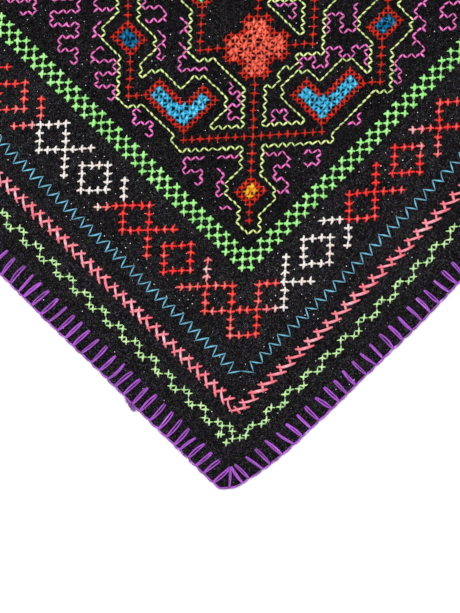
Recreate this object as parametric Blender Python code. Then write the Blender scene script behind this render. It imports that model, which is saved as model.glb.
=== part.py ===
"""Embroidered cotton cloth, nearly square, lying flat on a surface.

One piece of black counted-thread cotton, cut a little out of square, with
rounded, slightly uneven corners and a stitched edge.  The solid is the whole
sheet: woven ground plus the thickness of the embroidery on it.

Frame: +Z up, underside on z = 0, origin under the middle of the outline's box.
X runs along one pair of sides and Y along the other.
"""

from math import cos, exp, pi, radians, sin

import bmesh
import bpy

# Driving dimensions, metres and degrees
SIDE_X = 0.4058          # length of the sides that run along X, over the edge yarn
SIDE_Y = 0.4143          # length of the sides that run along Y, over the edge yarn
EDGE_YARN = 0.0003       # how far the edge yarn stands outside the cut cloth
OUT_OF_SQUARE = 1.82     # how far the first corner opens past 90 degrees
THICKNESS = 0.0012       # ground cloth with its stitches pressed flat
SIDE_STEP = 0.0145       # spacing of outline points along a side
CORNER_STEPS = 7         # spans in each rounded corner

# Each corner is a quarter of an ellipse, with its own reach along the two sides.
#          corner         along_x  along_y
CORNERS = (
    ("near_left",  0.0360, 0.0095),
    ("near_right", 0.0120, 0.0150),
    ("far_right",  0.0160, 0.0110),
    ("far_left",   0.0110, 0.0210),
)

# Each side bows by "bow" in its middle (outwards is positive) and carries a
# shallow ripple of its own height and length.
#          side      bow      ripple   length  phase
SIDES = (
    ("near",   0.0002, 0.00022, 0.061, 0.6),
    ("right", -0.0011, 0.00030, 0.083, 2.1),
    ("far",    0.0009, 0.00028, 0.074, 4.0),
    ("left",   0.0002, 0.00020, 0.057, 1.3),
)

# The stitching draws the weave slightly off true around the first corner.  Each
# row is one term of that pull: shift = (dx, dy) * (x / DRAW_X) ** i * (y / DRAW_Y) ** j,
# and the whole pull dies away over FADE_X and FADE_Y.
DRAW_X, DRAW_Y = 0.0785, 0.0710
FADE_X, FADE_Y = 0.2094, 0.1893
#     i  j  dx        dy
DRAW = (
    (1, 0,  0.00000, -0.00258),
    (0, 1,  0.00031,  0.00027),
    (2, 0,  0.00034,  0.00155),
    (1, 1, -0.00076, -0.00035),
    (0, 2,  0.00008, -0.00015),
)

# Rings between the outline and the middle, as a share of the outline's size
RINGS = (1.0, 0.93, 0.72, 0.38)

CLOTH_COLOR = (0.013, 0.012, 0.013, 1.0)
CLOTH_ROUGHNESS = 0.92


def corner_arc(index):
    """Points of one rounded corner in flat cloth coordinates, counter-clockwise."""
    _, reach_x, reach_y = CORNERS[index]
    at_x = (0.0, SIDE_X, SIDE_X, 0.0)[index]
    at_y = (0.0, 0.0, SIDE_Y, SIDE_Y)[index]
    mid_x = at_x + (reach_x if at_x == 0.0 else -reach_x)
    mid_y = at_y + (reach_y if at_y == 0.0 else -reach_y)
    start = pi + index * pi / 2
    arc = []
    for step in range(CORNER_STEPS + 1):
        turn = start + step * pi / 2 / CORNER_STEPS
        arc.append((mid_x + reach_x * cos(turn), mid_y + reach_y * sin(turn)))
    return arc


def outward_offset(side, along, length):
    """How far a side stands outside its straight line, zero at both ends."""
    _, bow, ripple, wave, phase = SIDES[side]
    share = along / length
    fade = min(1.0, 6.0 * share, 6.0 * (1.0 - share))
    return bow * sin(pi * share) + ripple * fade * sin(2 * pi * along / wave + phase)


def side_points(index, start, end):
    """Points between two corners, without the corners' own end points."""
    dx, dy = end[0] - start[0], end[1] - start[1]
    length = (dx * dx + dy * dy) ** 0.5
    out_x, out_y = dy / length, -dx / length
    spans = max(2, round(length / SIDE_STEP))
    points = []
    for step in range(1, spans):
        along = length * step / spans
        off = outward_offset(index, along, length)
        points.append((
            start[0] + dx * step / spans + out_x * off,
            start[1] + dy * step / spans + out_y * off,
        ))
    return points


def laid(point):
    """Cut cloth coordinates to the frame: opened past square, and drawn off true."""
    half = radians(OUT_OF_SQUARE / 2)
    x, y = point[0] - EDGE_YARN, point[1] - EDGE_YARN
    fade = exp(-(((x / FADE_X) ** 2 + (y / FADE_Y) ** 2) ** 2))
    terms = [(dx, dy, (x / DRAW_X) ** i * (y / DRAW_Y) ** j) for i, j, dx, dy in DRAW]
    pull_x = fade * sum(dx * term for dx, _, term in terms)
    pull_y = fade * sum(dy * term for _, dy, term in terms)
    return (
        x * cos(half) - y * sin(half) + pull_x,
        -x * sin(half) + y * cos(half) + pull_y,
    )


def outline():
    arcs = [corner_arc(index) for index in range(4)]
    points = []
    for index, arc in enumerate(arcs):
        points += arc
        points += side_points(index, arc[-1], arcs[(index + 1) % 4][0])
    points = [laid(point) for point in points]
    mid_x = (min(p[0] for p in points) + max(p[0] for p in points)) / 2
    mid_y = (min(p[1] for p in points) + max(p[1] for p in points)) / 2
    return [(x - mid_x, y - mid_y) for x, y in points]


def sheet_mesh(name):
    """The closed sheet: the same rings on the underside and the top."""
    edge = outline()
    count = len(edge)
    bm = bmesh.new()
    levels = []
    for height in (0.0, THICKNESS):
        rings = [
            [bm.verts.new((x * share, y * share, height)) for x, y in edge]
            for share in RINGS
        ]
        levels.append((rings, bm.verts.new((0.0, 0.0, height))))
    for top, (rings, middle) in enumerate(levels):
        for outer, inner in zip(rings, rings[1:]):
            for i in range(count):
                j = (i + 1) % count
                face = (outer[i], outer[j], inner[j], inner[i])
                bm.faces.new(face if top else face[::-1])
        for i in range(count):
            face = (rings[-1][i], rings[-1][(i + 1) % count], middle)
            bm.faces.new(face if top else face[::-1])
    low, high = levels[0][0][0], levels[1][0][0]
    for i in range(count):
        j = (i + 1) % count
        bm.faces.new((low[i], low[j], high[j], high[i]))
    mesh = bpy.data.meshes.new(name)
    bm.to_mesh(mesh)
    bm.free()
    return mesh


def cloth_material():
    material = bpy.data.materials.new("black_cotton")
    material.use_nodes = True
    shader = material.node_tree.nodes["Principled BSDF"]
    shader.inputs["Base Color"].default_value = CLOTH_COLOR
    shader.inputs["Roughness"].default_value = CLOTH_ROUGHNESS
    shader.inputs["Metallic"].default_value = 0.0
    return material


def main():
    for obj in list(bpy.data.objects):
        bpy.data.objects.remove(obj, do_unlink=True)
    mesh = sheet_mesh("cloth")
    mesh.materials.append(cloth_material())
    cloth = bpy.data.objects.new("cloth", mesh)
    bpy.context.scene.collection.objects.link(cloth)


main()
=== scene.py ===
"""Looks for the embroidered cotton cloth: counted-thread stitches on a black ground.

Everything is placed by counting holes of the weave.  lay() takes a place on the
weave to its place in the frame; the charts say which holes each stitch joins;
and each thread colour is one mesh of closed, slightly flattened strands.
"""

from math import atan2, cos, exp, pi, radians, sin

import bpy
import numpy as np
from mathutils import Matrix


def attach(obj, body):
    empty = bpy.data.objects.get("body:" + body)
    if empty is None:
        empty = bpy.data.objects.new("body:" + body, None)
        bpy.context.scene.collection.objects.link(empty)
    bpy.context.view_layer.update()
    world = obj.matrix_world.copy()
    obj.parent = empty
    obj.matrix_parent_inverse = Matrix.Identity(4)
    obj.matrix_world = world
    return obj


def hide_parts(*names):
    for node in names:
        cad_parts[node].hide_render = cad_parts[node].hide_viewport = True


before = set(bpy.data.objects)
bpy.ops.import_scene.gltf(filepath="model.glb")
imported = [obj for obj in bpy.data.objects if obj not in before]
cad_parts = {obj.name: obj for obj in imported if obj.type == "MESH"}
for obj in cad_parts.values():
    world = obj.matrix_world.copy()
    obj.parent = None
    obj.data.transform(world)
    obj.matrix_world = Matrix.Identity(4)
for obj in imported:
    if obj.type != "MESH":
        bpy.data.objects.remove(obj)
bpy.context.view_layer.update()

# ---------------------------------------------------------------- the weave
# The stitches are counted on the weave.  Hole (x, y) of the weave lies x cells
# along the near side and y cells along the left side; half a turn about the
# middle of the cloth takes hole (x, y) to (NX - x, NY - y).

NX, NY = 155, 175
CELL_X, CELL_Y = 0.002617, 0.002366   # metres
FIRST_HOLE = -0.08                    # cells from the cut edges to hole (0, 0)


def cross(x, y, tint=0.0):
    """One cross stitch in the cell whose low corner is hole (x, y)."""
    return [(x + 1, y, x, y + 1, 0, tint), (x, y, x + 1, y + 1, 1, tint)]


def turned(stitches):
    """The same stitches on the two sides opposite."""
    return [(NX - a, NY - b, NX - c, NY - d, level, tint) for a, b, c, d, level, tint in stitches]


def pale_green_line():
    """Pairs of crosses that step between two rows, and a few uneven ones in the corners."""
    out = []
    for n in range(2, 42):
        for t, row in ((0, 7), (1, 7), (2, 6), (3, 6)):
            along = 4 * n + t
            if along + 1.5 <= NX - 11:
                out += cross(along + 1.5, row)
            if along + 2.5 <= NY - 11:
                out += cross(row, along + 2.5)
    out += cross(6, 9.5)
    for u, v in ((6.07, 10.2), (8.26, 9.94), (7.93, 8.97), (6.02, 8.23), (7.15, 8.01), (8.01, 7.2), (8.93, 6.84)):
        out += cross(u - 0.42, v - 0.42)
    for back, row in ((10.5, 6), (9.5, 7), (8.5, 8), (8, 9.4)):   # round the next corner
        out += cross(NX - back, row)
    return out + turned(out)


def pink_herringbone():
    """The stitches, and for each its bend: how far the strand that crosses it draws it aside, in cells, and where along it."""
    out, bends = [(10.8, 10.3, 10.95, 12.2, 0, 0.0), (10, 12, 12.8, 10, 1, 0.0)], [(0.1, 0.0, 0.5), (-0.1, -0.1, 0.3)]
    for k in range(12, NX - 12, 2):
        out += [(k - 0.26, 10.25, k + 0.75, 12.08, 0, 0.0), (k, 12.15, k + 2.78, 10.1, 1, 0.0)]
        bends += [(0.06, -0.03, 0.6), (-0.21, -0.26, 0.24)]
    for k in range(14, NY - 10, 2):
        out += [(10.1, k + 0.28, 12.1, k - 1.12, 0, 0.0), (12.05, k - 0.1, 10.04, k - 2.7, 0.2 if k == 14 else 1, 0.0)]
        bends += [(0.03, 0.1, 0.25), (-0.5, 0.5, 0.4) if k == 14 else (-0.16, 0.15, 0.26)]
    return out + turned(out), bends + [(-x, -y, at) for x, y, at in bends]


def blue_zigzag():
    out = []
    for k in range(18, NX - 18, 2):
        out += [(k - 0.08, 15.93, k - 0.97, 14.14, 0, 0.0), (k - 0.08, 15.93, k + 1.03, 14.14, 0, 0.0)]
    for k in range(18, NY - 18, 2):
        out += [(16.03, k - 0.27, 14.2, k - 1.07, 0, 0.0), (16.03, k - 0.27, 14.2, k + 0.93, 0, 0.0)]
    out += [(14, 17, 15.7, 15.7, 0, 0.0), (15.7, 15.7, 17, 14, 0, 0.0)]
    out += [(137, 14, 139.3, 15.7, 0, 0.0), (139.3, 15.7, 141, 18, 0, 0.0)]
    return out + turned(out)


def chain_tint(side, along, inner):
    """The chain is worked in a space-dyed thread: 0 is red, 0.4 is pink and 1 is nearly white.

    along is in cells from the corner.  The outer half of the chain and its inner half are worked on different journeys,
    so they change colour at different places.
    """
    if side == 0 and inner:
        stops = ((0, 0.12), (29.4, 0.12), (29.6, 1), (43.5, 1), (43.6, 0), (59, 0), (60, 0.38), (61, 0.58), (62, 0.44), (63, 0.28), (64, 0.05), (90, 0))
    elif side == 0:
        stops = ((0, 0.15), (23, 0.16), (24, 0.38), (25, 0.42), (26, 0.62), (27, 0.95), (43.5, 1), (43.6, 0), (58, 0), (59, 0.2), (60, 0.3), (62, 0.24), (64, 0), (90, 0))
    elif inner:
        stops = ((0, 0.15), (30, 0.16), (31, 0.5), (32, 0.62), (33, 0.4), (34, 0.05), (50.4, 0), (50.6, 1), (70.5, 1), (70.6, 0.16), (90, 0.1))
    else:
        stops = ((0, 0.15), (30, 0.16), (33, 0.28), (34.5, 0.08), (50, 0), (51, 0.2), (52, 0.36), (53, 0.68), (54, 1), (70.2, 1), (71, 0.5), (72, 0.36), (73, 0.2), (90, 0.1))
    if along >= 80:
        along = (along - 80) % 52
        stops = ((0, 0), (15, 0), (17, 0.5), (19, 1), (32, 1), (34, 0.5), (36, 0.1), (60, 0))
    for (a, low), (b, high) in zip(stops, stops[1:]):
        if a <= along <= b:
            return low + (high - low) * (along - a) / max(b - a, 1e-6)
    return 0.0


def chain_ring(ci, cj):
    """The twelve crosses of a ring three cells out from its middle, each once, with the way the work goes round."""
    cells = []
    for k in range(3):
        cells += [(ci + 3 - k, cj + k, (-1, 1)), (ci - k, cj + 3 - k, (-1, -1)), (ci - 3 + k, cj - k, (1, -1)), (ci + k, cj - 3 + k, (1, 1))]
    return cells


def ring_chain():
    """The stitches, and for each its bend: the work draws the middle of every cross along the way it goes."""
    cells = {}
    for corner in ((21, 21), (133, 21), (21, 153), (133, 153)):
        for x, y, way in chain_ring(*corner):
            cells.setdefault((x, y), (0.15, way))
    for side, length in ((0, NX), (1, NY)):
        for far in (0, 1):
            line = (NY if side == 0 else NX) - 1 - 21 if far else 21
            for n, centre in enumerate(range(27, length - 27, 10)):
                turn = -1 if (n * 5 + side * 2 + far) % 4 == 3 else 1
                found = [(dx, dy, (turn * a, turn * b)) for dx, dy, (a, b) in chain_ring(0, 0)]
                if n % 2 == 0:
                    found += [(s * (3 + k), t * k, (s * t * turn * s, t * turn * t * s)) for k in (1, 2, 3) for s in (1, -1) for t in (1, -1)]
                for da, dl, way in found:
                    along = centre + da
                    from_corner = min(along, length - 1 - along) if far == 0 else along * 0.97 + 9
                    tint = chain_tint(side, from_corner, dl > 0 or (dl == 0 and side == 0))
                    cell = (along, line + dl) if side == 0 else (line + dl, along)
                    cells.setdefault(cell, (tint, way if side == 0 else way[::-1]))
    out, bends = [], []
    for (x, y), (tint, way) in sorted(cells.items()):
        out += cross(x, y, tint)
        bends += 2 * [(0.115 * way[0], 0.115 * way[1], 0.5)]
    return out, bends


def bright_green_band():
    """A three-cell band in which every other cell holds a cross, like the squares of a chequered board."""
    out = []
    for x in range(27, NX - 27):
        for y in range(27, NY - 27):
            if 27 <= min(x, y, NX - 1 - x, NY - 1 - y) <= 29 and (x + y) % 2:
                out += cross(x, y)
    return out


# ---------------------------------------------------------------- the cut cloth
# The same outline as the solid's, in metres.
SIDE_X, SIDE_Y = 0.4058, 0.4143
EDGE_YARN = 0.0003
OUT_OF_SQUARE = 1.82
SIDE_STEP = 0.0145
CORNER_STEPS = 7
CORNERS = (
    ("near_left",  0.0360, 0.0095),
    ("near_right", 0.0120, 0.0150),
    ("far_right",  0.0160, 0.0110),
    ("far_left",   0.0110, 0.0210),
)
SIDES = (
    ("near",   0.0002, 0.00022, 0.061, 0.6),
    ("right", -0.0011, 0.00030, 0.083, 2.1),
    ("far",    0.0009, 0.00028, 0.074, 4.0),
    ("left",   0.0002, 0.00020, 0.057, 1.3),
)
DRAW_X, DRAW_Y = 0.0785, 0.0710
FADE_X, FADE_Y = 0.2094, 0.1893
DRAW = (
    (1, 0,  0.00000, -0.00258),
    (0, 1,  0.00031,  0.00027),
    (2, 0,  0.00034,  0.00155),
    (1, 1, -0.00076, -0.00035),
    (0, 2,  0.00008, -0.00015),
)


def corner_arc(index):
    _, reach_x, reach_y = CORNERS[index]
    at_x = (0.0, SIDE_X, SIDE_X, 0.0)[index]
    at_y = (0.0, 0.0, SIDE_Y, SIDE_Y)[index]
    mid_x = at_x + (reach_x if at_x == 0.0 else -reach_x)
    mid_y = at_y + (reach_y if at_y == 0.0 else -reach_y)
    start = pi + index * pi / 2
    turns = [start + step * pi / 2 / CORNER_STEPS for step in range(CORNER_STEPS + 1)]
    return [(mid_x + reach_x * cos(t), mid_y + reach_y * sin(t)) for t in turns]


def side_points(index, start, end):
    _, bow, ripple, wave, phase = SIDES[index]
    dx, dy = end[0] - start[0], end[1] - start[1]
    length = (dx * dx + dy * dy) ** 0.5
    spans = max(2, round(length / SIDE_STEP))
    points = []
    for step in range(1, spans):
        along, share = length * step / spans, step / spans
        fade = min(1.0, 6.0 * share, 6.0 * (1.0 - share))
        off = bow * sin(pi * share) + ripple * fade * sin(2 * pi * along / wave + phase)
        points.append((start[0] + dx * share + dy / length * off, start[1] + dy * share - dx / length * off))
    return points


def flat_outline():
    """The outline in cut cloth coordinates, one list of points from corner to corner for each side."""
    arcs = [corner_arc(index) for index in range(4)]
    runs = []
    for index, arc in enumerate(arcs):
        runs.append(arc + side_points(index, arc[-1], arcs[(index + 1) % 4][0]))
    return runs


def laid(x, y):
    """Cut cloth coordinates, as arrays in metres, to the frame before it is centred."""
    x, y = np.asarray(x, float) - EDGE_YARN, np.asarray(y, float) - EDGE_YARN
    half = radians(OUT_OF_SQUARE / 2)
    fade = np.exp(-(((x / FADE_X) ** 2 + (y / FADE_Y) ** 2) ** 2))
    pull_x = fade * sum(dx * (x / DRAW_X) ** i * (y / DRAW_Y) ** j for i, j, dx, dy in DRAW)
    pull_y = fade * sum(dy * (x / DRAW_X) ** i * (y / DRAW_Y) ** j for i, j, dx, dy in DRAW)
    return x * cos(half) - y * sin(half) + pull_x, -x * sin(half) + y * cos(half) + pull_y


RUNS = flat_outline()
FLAT = np.array([p for run in RUNS for p in run])
_x, _y = laid(FLAT[:, 0], FLAT[:, 1])
MID_X, MID_Y = (_x.min() + _x.max()) / 2, (_y.min() + _y.max()) / 2


def place(x, y):
    """Cut cloth coordinates in metres to x and y in the frame."""
    a, b = laid(x, y)
    return np.stack([a - MID_X, b - MID_Y], axis=-1)


def lay(x, y):
    """Hole (x, y) of the weave to x and y in the frame."""
    return place((np.asarray(x, float) + FIRST_HOLE) * CELL_X + EDGE_YARN, (np.asarray(y, float) + FIRST_HOLE) * CELL_Y + EDGE_YARN)


# Heights above the floor, metres
UNDERSIDE, GROUND_TOP = 0.00034, 0.00098


def swell(xy):
    """How far the cloth lifts off the table: a soft, shallow unevenness that is never below zero."""
    x, y = xy[..., 0], xy[..., 1]
    wave = (
        np.sin(x * 61.0 + 0.7 + 1.3 * np.sin(y * 23.0))
        + np.sin(y * 53.0 + 2.1 + 1.1 * np.sin(x * 29.0 + 1.0))
        + 0.6 * np.sin((x + y) * 97.0 + 0.4)
        + 0.6 * np.sin((x - y) * 113.0 + 1.9)
    )
    fine = np.sin(x * 520.0 + 2.0 * np.sin(y * 310.0)) * np.sin(y * 570.0 + 2.0 * np.sin(x * 280.0))
    lean = radians(OUT_OF_SQUARE / 2)
    from_side = np.minimum(SIDE_X / 2 - np.abs(x + y * lean), SIDE_Y / 2 - np.abs(y + x * lean))
    down = 1.0 - 0.75 * np.exp(-((np.maximum(from_side, 0.0) / 0.008) ** 2))        # the bound edge lies flat
    return (0.00006 * (wave + 3.2) + 0.00003 * (1 + fine)) * down


# ---------------------------------------------------------------- the field
# A generic design in the manner of the craft.  It is drawn for one corner in
# cells (a, b) counted from the corner of the field, mirrored about that corner's
# diagonal, and then mirrored to the other three corners.

FIELD_LOW, FIELD_X, FIELD_Y = 30, 95, 115
OUTLINE_AWAY = 0.0051      # metres from a motif to the line that follows it


def box(a, b, na, nb):
    return {(a + i, b + j) for i in range(na) for j in range(nb)}


def upright(p, q, half_p, half_q):
    """Cells of an upright rectangle, in half diagonals: p across and q up."""
    return {(a, b) for a in range(60) for b in range(60) if abs(a - b - p) <= half_p and abs(a + b + 1 - q) <= half_q}


def step(a, b, count, da, db):
    return [(a + da * k, b + db * k) for k in range(count)]


def corner_motifs():
    """(outline cells, {fill name: cells}) of one corner's motifs."""
    red, fills = set(), {}

    def block(cells, fill, rings=1):
        inner = set(cells)
        for _ in range(rings):
            edge = {c for c in inner if any((c[0] + i, c[1] + j) not in inner for i, j in ((1, 0), (-1, 0), (0, 1), (0, -1)))}
            red.update(edge)
            inner -= edge
        fills.setdefault(fill, set()).update(inner)

    def stem(*cells):
        red.update(cells)

    motifs(block, stem)
    both = lambda cells: {(a, b) for a, b in cells} | {(b, a) for a, b in cells}
    return both(red), {name: both(cells) for name, cells in fills.items()}


def regions_of(cells):
    """The separate pieces that these cells make, side to side."""
    todo, regions = set(cells), []
    for start in sorted(cells):
        if start not in todo:
            continue
        todo.discard(start)
        queue, found = [start], [start]
        while queue:
            a, b = queue.pop()
            for c in ((a + 1, b), (a - 1, b), (a, b + 1), (a, b - 1)):
                if c in todo:
                    todo.discard(c)
                    queue.append(c)
                    found.append(c)
        regions.append(found)
    return regions


def field_chart():
    red0, fills0 = corner_motifs()

    def whole(cells):
        out = set()
        for a, b in cells:
            if a <= FIELD_X // 2 and b <= FIELD_Y // 2:
                for x in (a, FIELD_X - 1 - a):
                    for y in (b, FIELD_Y - 1 - b):
                        out.add((x, y))
        return out

    fills = {name: whole(cells) for name, cells in fills0.items()}
    red = whole(red0)
    for cells in fills.values():
        red -= cells
    shapes = sorted(red | set().union(*fills.values()))
    gx, gy = np.meshgrid(np.arange(FIELD_X), np.arange(FIELD_Y), indexing="ij")
    away = np.full(gx.shape, 1e9)
    for a, b in shapes:
        away = np.minimum(away, ((gx - a) * CELL_X) ** 2 + ((gy - b) * CELL_Y) ** 2)
    near = away < OUTLINE_AWAY ** 2
    for region in regions_of({(a, b) for a in range(FIELD_X) for b in range(FIELD_Y) if not near[a, b]}):
        if len(region) < 16:
            for cell in region:
                near[cell] = True
    # back stitches on the cell sides where the near cells end
    line = []
    for a in range(FIELD_X):
        for b in range(FIELD_Y):
            if a + 1 < FIELD_X and near[a, b] != near[a + 1, b] :
                line.append((a + 1, b, a + 1, b + 1))
            if b + 1 < FIELD_Y and near[a, b] != near[a, b + 1]:
                line.append((a, b + 1, a + 1, b + 1))
    return red, fills, near, line


def motifs(block, stem):
    # a lozenge above the corner, and a stem that parts to both sides
    stem(*step(3, 3, 2, 1, 1))
    block(box(5, 5, 4, 4), "sun")
    stem(*step(9, 9, 5, 1, 1), *step(14, 12, 8, 1, -1))
    # a slanting hook at the end of each arm
    block(box(22, 6, 10, 4) | box(22, 6, 4, 8), "sky")
    stem(*step(32, 5, 2, 1, -1), *step(34, 5, 4, 1, 1))
    block(box(38, 9, 5, 4), "deep")
    stem(*step(43, 13, 9, 1, 1))
    # the upright cross in the middle
    stem(*step(14, 14, 6, 1, 1))
    block(upright(0, 48, 3, 7) | upright(0, 48, 7, 3), "coral")
    stem(*step(28, 19, 3, 1, -1), *step(31, 18, 4, 1, 1))
    block(box(35, 22, 4, 4), "leaf")
    stem(*step(39, 26, 9, 1, 1))
    stem(*step(28, 28, 6, 1, 1), *step(31, 29, 2, 1, -1))
    block(box(33, 27, 4, 4), "sun")
    block(box(34, 34, 6, 6), "sky")
    stem(*step(40, 40, 5, 1, 1))
    block(upright(0, 98, 4, 8), "coral")


def meanders(near):
    """Back stitches that wind through what the outlines leave free.

    p = x - y runs across and q = x + y runs up, in holes of the field.  A row
    keeps to one level or the next, one cell side a stitch, and rows lie three
    levels apart in strips eight stitches wide.
    """
    free = {(a, b) for a in range(FIELD_X) for b in range(FIELD_Y) if not near[a, b]}
    lines = []
    for region in regions_of(free):
        own = set(region)
        best = []
        for tall in (False, True):
            for phase in range(0, 10):
                for first in (1, 2, 3):
                    found = wound(own, tall, phase, first)
                    if sum(len(x) for x in found) - 3 * len(found) > sum(len(x) for x in best) - 3 * len(best):
                        best = found
        lines += best
    return lines


def wound(own, tall, phase, first):
    """The strips of one piece of free ground, rows across or, if tall, rows up."""
    def inside(x, y):
        return (1 < x < FIELD_X - 1 and 1 < y < FIELD_Y - 1
                and sum((x - i, y - j) in own for i in (0, 1) for j in (0, 1)) >= 3)

    def hole(along, level):
        p, q = (level, along) if tall else (along, level)
        return (p + q) // 2, (q - p) // 2

    def level_at(along, base):
        return base if (along + base) % 2 == 0 else base + 1

    ps, qs = [a - b for a, b in own], [a + b for a, b in own]
    low, high = (min(ps), max(ps)) if tall else (min(qs), max(qs))
    start, end = (min(qs), max(qs)) if tall else (min(ps), max(ps))
    lines = []
    for strip in range(start - 10 + phase, end + 2, 10):
        runs = []                                   # one run of holes a row
        for base in range(low + first, high + 1, 3):
            run, longest = [], []
            for along in range(strip, strip + 8):
                if inside(*hole(along, level_at(along, base))):
                    run.append(along)
                    longest = max(longest, run, key=len)
                else:
                    run = []
            runs.append((base, longest[0], longest[-1]) if len(longest) >= 3 else None)
        path, way = [], 1
        for here, above in zip(runs, runs[1:] + [None]):
            if here is None:
                continue
            base, left, right = here
            entry = path[-1][0] if path else (left if way > 0 else right)
            turn = None
            if above and len(path) < 46:
                turn = min(right, above[2]) if way > 0 else max(left, above[1])
                if not (left <= turn <= right and above[1] <= turn <= above[2]) or (turn - entry) * way < 2:
                    turn = None
            stop = turn if turn is not None else (right if way > 0 else left)
            for along in range(entry, stop + way, way):
                if not path or path[-1] != (along, level_at(along, base)):
                    path.append((along, level_at(along, base)))
            if turn is None:
                lines.append([hole(*point) for point in path])
                path, way = [], -way
                continue
            along, level = path[-1]
            while level < base + 3:
                level += 1
                along = stop - way if along == stop else stop
                path.append((along, level))
            way = -way
        if path:
            lines.append([hole(*point) for point in path])
    out = []
    for line in lines:
        good = line[:1]
        for point in line[1:]:
            if abs(point[0] - good[-1][0]) + abs(point[1] - good[-1][1]) == 1 and inside(*point):
                good.append(point)
            else:
                if len(good) > 2:
                    out.append(good)
                good = [point]
        if len(good) > 2:
            out.append(good)
    return out


# ---------------------------------------------------------------- strands

rng = np.random.default_rng(20)
HOLE_SHIFT = rng.normal(0, 0.034, (2 * NX + 60, 2 * NY + 60, 2))   # how far each hole is pulled, in cells
SECTION = np.radians([-38.0, 28.0, 90.0, 152.0, 218.0])            # a strand's section: round above, flat below


class Pile:
    """Gathers strands into one closed mesh with a UV map (millimetres along, turns round) and a tint."""

    def __init__(self):
        self.points, self.tints, self.quads, self.tris, self.quad_uv, self.tri_uv, self.count = [], [], [], [], [], [], 0

    def add(self, line, wide, high, tint, section=SECTION, closed=False, start=None):
        """line (n, k, 3), wide and high (n, k) half sizes, tint (n, k). Unless closed, the first and last points are tips."""
        n, k, _ = line.shape
        s = len(section)
        if closed:
            ahead, behind = np.roll(line, -1, axis=1), np.roll(line, 1, axis=1)
            along = ahead - behind
        else:
            along = np.empty_like(line)
            along[:, 1:-1] = line[:, 2:] - line[:, :-2]
            along[:, 0], along[:, -1] = line[:, 1] - line[:, 0], line[:, -1] - line[:, -2]
        along /= np.maximum(np.linalg.norm(along, axis=2, keepdims=True), 1e-9)
        up = np.zeros_like(line)
        up[..., 2] = 1.0
        side = np.cross(along, up)
        side /= np.maximum(np.linalg.norm(side, axis=2, keepdims=True), 1e-9)
        up = np.cross(side, along)
        gone = np.concatenate([np.zeros((n, 1)), np.cumsum(np.linalg.norm(np.diff(line, axis=1), axis=2), axis=1)], axis=1) * 1000
        if start is None:
            start = rng.uniform(0, 40, n)
        gone = gone + start[:, None]
        body = slice(0, k) if closed else slice(1, k - 1)
        c, si, u = line[:, body], side[:, body], up[:, body]
        w, h, g = wide[:, body], high[:, body], gone[:, body]
        rings = c.shape[1]
        ring = (c[:, :, None, :] + w[:, :, None, None] * np.cos(section)[None, None, :, None] * si[:, :, None, :]
                + h[:, :, None, None] * np.sin(section)[None, None, :, None] * u[:, :, None, :])
        each = rings * s + (0 if closed else 2)
        base = self.count + np.arange(n)[:, None, None] * each
        r = np.arange(rings if closed else rings - 1)
        a = base + (r[None, :, None] * s) + np.arange(s)[None, None, :]
        nxt = base + (r[None, :, None] * s) + (np.arange(s)[None, None, :] + 1) % s
        last = ((r + 1) % rings)[None, :, None] * s
        b = base + last + np.arange(s)[None, None, :]
        d = base + last + (np.arange(s)[None, None, :] + 1) % s
        self.quads.append(np.stack([a, b, d, nxt], axis=-1).reshape(-1, 4))
        v0 = np.arange(s) / s
        v1 = v0 + 1 / s
        if closed:
            span = np.linalg.norm(line[:, 0] - line[:, -1], axis=1)[:, None] * 1000
            g1 = np.concatenate([g[:, 1:], g[:, -1:] + span], axis=1)
            g0 = g
        else:
            g0, g1 = g[:, :-1], g[:, 1:]
        shape = g0.shape + (s,)
        U0, U1 = np.broadcast_to(g0[..., None], shape), np.broadcast_to(g1[..., None], shape)
        V0, V1 = np.broadcast_to(v0, shape), np.broadcast_to(v1, shape)
        self.quad_uv.append(np.stack([np.stack([U0, V0], -1), np.stack([U1, V0], -1), np.stack([U1, V1], -1), np.stack([U0, V1], -1)], axis=-2).reshape(-1, 4, 2))
        body_tint = np.repeat(tint[:, body], s, axis=1).reshape(n, rings * s)
        if closed:
            self.points.append(ring.reshape(-1, 3))
            self.tints.append(body_tint.reshape(-1))
        else:
            tips = np.stack([line[:, 0], line[:, -1]], axis=1)
            self.points.append(np.concatenate([ring.reshape(n, rings * s, 3), tips], axis=1).reshape(-1, 3))
            self.tints.append(np.concatenate([body_tint, tint[:, [0, -1]]], axis=1).reshape(-1))
            flat = base[:, :, 0]
            i, j = np.arange(s)[None, :], (np.arange(s)[None, :] + 1) % s
            tip0, tip1, end = flat + rings * s, flat + rings * s + 1, (rings - 1) * s
            one = np.ones((1, s), int)
            self.tris.append(np.stack([tip0 * one, flat + i, flat + j], axis=-1).reshape(-1, 3))
            self.tris.append(np.stack([tip1 * one, flat + end + j, flat + end + i], axis=-1).reshape(-1, 3))
            vm = (v0 + v1) / 2
            for at, ringed, first, second in ((gone[:, 0], g[:, 0], v0, v1), (gone[:, -1], g[:, -1], v1, v0)):
                tip_u, ring_u = np.repeat(at[:, None], s, 1), np.repeat(ringed[:, None], s, 1)
                self.tri_uv.append(np.stack([np.stack([tip_u, np.broadcast_to(vm, tip_u.shape)], -1), np.stack([ring_u, np.broadcast_to(first, tip_u.shape)], -1),
                                             np.stack([ring_u, np.broadcast_to(second, tip_u.shape)], -1)], axis=-2).reshape(-1, 3, 2))
        self.count += n * each

    def mesh(self, name):
        points = np.concatenate(self.points)
        quads = np.concatenate(self.quads)
        tris = np.concatenate(self.tris) if self.tris else np.zeros((0, 3), int)
        uv = np.concatenate([np.concatenate(self.quad_uv).reshape(-1, 2)] + ([np.concatenate(self.tri_uv).reshape(-1, 2)] if self.tris else []))
        return make_mesh(name, points, quads, tris, uv, np.concatenate(self.tints))


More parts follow.
